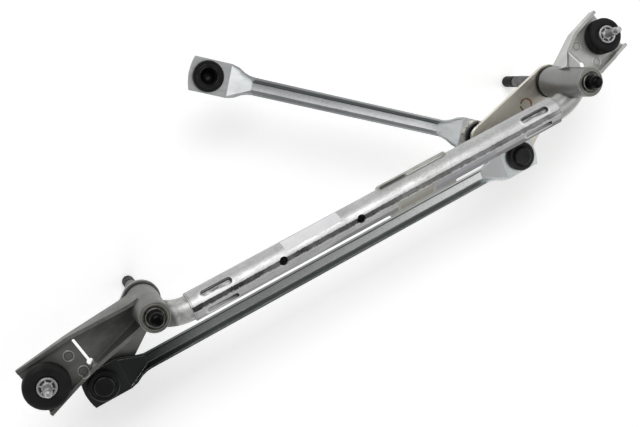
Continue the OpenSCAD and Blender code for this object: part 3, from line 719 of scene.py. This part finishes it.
motor_rod_steel = sheet_metal(
    "motor_rod_steel", (0.76, 0.78, 0.78), (0.6, 0.62, 0.62), (0.44, 0.45, 0.45), 0.32, turn=ROD_TURN - 180,
    zones=(
        channel_zone(
            MOTOR_BALL, ROD_TURN, MOTOR_ROD_LENGTH,
            rims=((0.42, 0.44, 0.445), (0.36, 0.38, 0.385)),
            flanks=((0.26, 0.275, 0.28), (0.4, 0.42, 0.425)),
            folds=((0.1, 0.105, 0.107), (0.3, 0.31, 0.315)),
            floors=((0.55, 0.58, 0.585), (1.0, 1.0, 1.0)),
            far_floors=((0.5, 0.52, 0.525), (1.0, 1.0, 1.0)),
            ramps=((0.93, 0.97, 0.98), (0.72, 0.745, 0.745)),
        ),
        rust_zone,
    ),
)


def socket_plastic(name):
    low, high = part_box(name)
    centre = (Vector(low) + Vector(high)) / 2 - LEFT_AXIS
    return polymer(
        "socket_plastic_" + name, (0.008, 0.008, 0.0085), (0.0035, 0.0035, 0.004), 0.3, 0.2,
        level=0.22, round_by=0.0, zones=(socket_ring_highlight_zone(centre),),
    )


for part in frame["record"]["subparts"]:
    node = frame["nodes"][part["node"]]
    if part["material_slot"] == "socket_plastic":
        material = socket_plastic(part["node"])
    elif part["node"] == "motor_rod":
        material = motor_rod_steel
    else:
        material = MATERIALS[part["material_slot"]]
    if not node.data.materials:
        node.data.materials.append(material)
    for slot in node.material_slots:
        slot.material = material


# ---------------------------------------------------------------- small pieces

def add_piece(name, bm, body, slot):
    """Turns a bmesh in drawing places into a smooth object that rides on a body and takes a slot's finish."""
    bmesh.ops.recalc_face_normals(bm, faces=bm.faces)
    data = bpy.data.meshes.new(name)
    bm.to_mesh(data)
    bm.free()
    for polygon in data.polygons:
        polygon.use_smooth = True
    data.transform(Matrix.Translation(LEFT_AXIS))
    data.materials.append(MATERIALS[slot])
    obj = bpy.data.objects.new(name, data)
    scene.collection.objects.link(obj)
    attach(obj, body)
    return obj


def skin(bm, loops):
    """Closed skin over a row of equal loops of points, with a face at both ends."""
    rows = [[bm.verts.new(point) for point in loop] for loop in loops]
    count = len(rows[0])
    for one, two in zip(rows, rows[1:]):
        for i in range(count):
            j = (i + 1) % count
            bm.faces.new((one[i], one[j], two[j], two[i]))
    bm.faces.new(rows[0])
    bm.faces.new(rows[-1])


def tube_point(x, angle):
    """Place on the tube's surface at x, at an angle from +Z towards -Y."""
    on_flat = abs(angle - FLAT_ANGLE) < FLAT_HALF
    reach = FLAT_REACH / math.cos(math.radians(angle - FLAT_ANGLE)) if on_flat else TUBE_R
    reach = min(TUBE_R, reach)
    turn = math.radians(angle)
    return Vector((x, TUBE_Y - reach * math.sin(turn), TUBE_Z + reach * math.cos(turn)))


def weld_bead(name, points, outward, width, height, ripple):
    """Half-round weld bead along points, its surface rippled where each drop of metal froze."""
    bm = bmesh.new()
    loops = []
    travelled = 0.0
    for i, point in enumerate(points):
        ahead = points[min(i + 1, len(points) - 1)] - points[max(i - 1, 0)]
        travelled += (point - points[max(i - 1, 0)]).length
        across = ahead.normalized().cross(outward[i]).normalized()
        ends = min(1.0, 0.15 + 0.5 * i, 0.15 + 0.5 * (len(points) - 1 - i))
        phase = math.tau * travelled / ripple
        swell = ends * (1 + 0.13 * math.sin(phase) + 0.08 * math.sin(0.37 * phase + i))
        loop = []
        for k in range(9):
            turn = math.pi * k / 8
            side = across * (math.cos(turn) * width / 2 * swell)
            loop.append(point + side + outward[i] * (math.sin(turn) * height * swell - 0.15 * MM))
        loop.append(point - across * (width * 0.3) - outward[i] * (0.5 * MM))
        loop.append(point + across * (width * 0.3) - outward[i] * (0.5 * MM))
        loops.append(loop)
    skin(bm, loops)
    return add_piece(name, bm, "frame", "saddle_steel")


def band_bead(name, x):
    """Bead round the tube's near side, where the motor bracket's plate is welded on."""
    angles = [12 + 68 * i / 55 for i in range(56)]
    points = [tube_point(x, angle) for angle in angles]
    outward = [
        Vector((0, -math.sin(math.radians(angle)), math.cos(math.radians(angle)))) for angle in angles
    ]
    return weld_bead(name, points, outward, 2.4 * MM, 0.6 * MM, 1.5 * MM)


def lip_bead(name, start, end):
    """Bead along the saddle's far lip."""
    steps = 70
    points = [
        Vector((start + (end - start) * i / steps, TUBE_Y + 12.9 * MM, TUBE_Z + 3.3 * MM))
        for i in range(steps + 1)
    ]
    outward = [Vector((0, 0.62, 0.78)) for _ in points]
    return weld_bead(name, points, outward, 2.3 * MM, 0.8 * MM, 1.7 * MM)


band_bead("weld_band_a", BAND_WELDS[0])
band_bead("weld_band_b", BAND_WELDS[1])
lip_bead("weld_lip", *LIP_WELD)


def spline(name, x, body):
    """Fine teeth round a spindle's cone, where the wiper arm's head grips."""
    bm = bmesh.new()
    loops = []
    for z, radius in SPLINE_CONE:
        loop = []
        for i in range(2 * TEETH):
            reach = radius if i % 2 else radius - TOOTH_DEPTH
            turn = math.tau * i / (2 * TEETH)
            loop.append((x + reach * math.cos(turn), reach * math.sin(turn), z))
        loops.append(loop)
    skin(bm, loops)
    return add_piece(name, bm, body, "dark_steel")


spline("left_spline", 0.0, "left_crank")
spline("right_spline", SPAN, "right_crank")


# ---------------------------------------------------------------- studio

def area_light(name, location, target, size, power):
    data = bpy.data.lights.new(name, "AREA")
    data.shape = "RECTANGLE"
    data.size, data.size_y = size
    data.energy = power
    obj = bpy.data.objects.new(name, data)
    obj.location = location
    obj.rotation_euler = (Vector(target) - Vector(location)).to_track_quat("-Z", "Y").to_euler()
    scene.collection.objects.link(obj)
    return obj


def placed(x, y, z):
    return Vector((x, y, z)) + LEFT_AXIS


MIDDLE = placed(0.2, -0.02, 0.0)
area_light("key", placed(0.15, 1.25, 1.55), MIDDLE, (1.6, 0.7), 19)
area_light("fill", placed(1.5, -0.3, 1.2), MIDDLE, (1.0, 1.4), 5)
area_light("front", placed(-0.9, -1.1, 0.9), MIDDLE, (1.2, 0.8), 4)

# A soft sky: bright towards the horizon, a little darker overhead, so that curved metal shows form
world = bpy.data.worlds.new("studio")
world.use_nodes = True
sky = world.node_tree
height = sky.nodes.new("ShaderNodeSeparateXYZ")
sky.links.new(sky.nodes.new("ShaderNodeTexCoord").outputs["Generated"], height.inputs[0])
ramp = sky.nodes.new("ShaderNodeMapRange")
ramp.interpolation_type = "SMOOTHSTEP"
ramp.inputs["From Min"].default_value = 0.1
ramp.inputs["From Max"].default_value = 0.95
ramp.inputs["To Min"].default_value = 0.5
ramp.inputs["To Max"].default_value = 0.34
sky.links.new(height.outputs["Z"], ramp.inputs["Value"])
sky.nodes["Background"].inputs["Color"].default_value = (1, 1, 1, 1)
sky.links.new(ramp.outputs["Result"], sky.nodes["Background"].inputs["Strength"])
scene.world = world

floor_shader = Shader("studio_floor")
floor_tone = floor_shader.mix(
    floor_shader.span(floor_shader.noise(3, 2), 0.3, 0.7), (0.9, 0.9, 0.9), (0.92, 0.92, 0.92)
)
floor_shader.finish(floor_tone, 0.7, 0.0, Emission_Color=(1, 1, 1, 1), Emission_Strength=0.3)
mesh = bpy.data.meshes.new("floor")
bm = bmesh.new()
bmesh.ops.create_grid(bm, x_segments=4, y_segments=4, size=20.0)
bm.to_mesh(mesh)
bm.free()
floor = bpy.data.objects.new("floor", mesh)
floor.location = placed(0.2, 0, FLOOR_Z)
floor.data.materials.append(floor_shader.mat)
scene.collection.objects.link(floor)

scene.view_settings.view_transform = "Standard"
scene.view_settings.look = "None"

camera_data = bpy.data.cameras.new("camera")
camera = bpy.data.objects.new("camera", camera_data)
camera_data.sensor_width = 36.0
camera_data.lens = CAMERA_LENS
camera_data.clip_start = 0.01
camera_data.clip_end = 50.0
back = (CAMERA_PLACE - CAMERA_AIM).normalized()
upward = Vector((math.cos(math.radians(CAMERA_UP)), math.sin(math.radians(CAMERA_UP)), 0))
right = upward.cross(back).normalized()
facing = Matrix((right, back.cross(right), back)).transposed()
camera.matrix_world = Matrix.Translation(CAMERA_PLACE + LEFT_AXIS) @ facing.to_4x4()
scene.collection.objects.link(camera)
scene.camera = camera
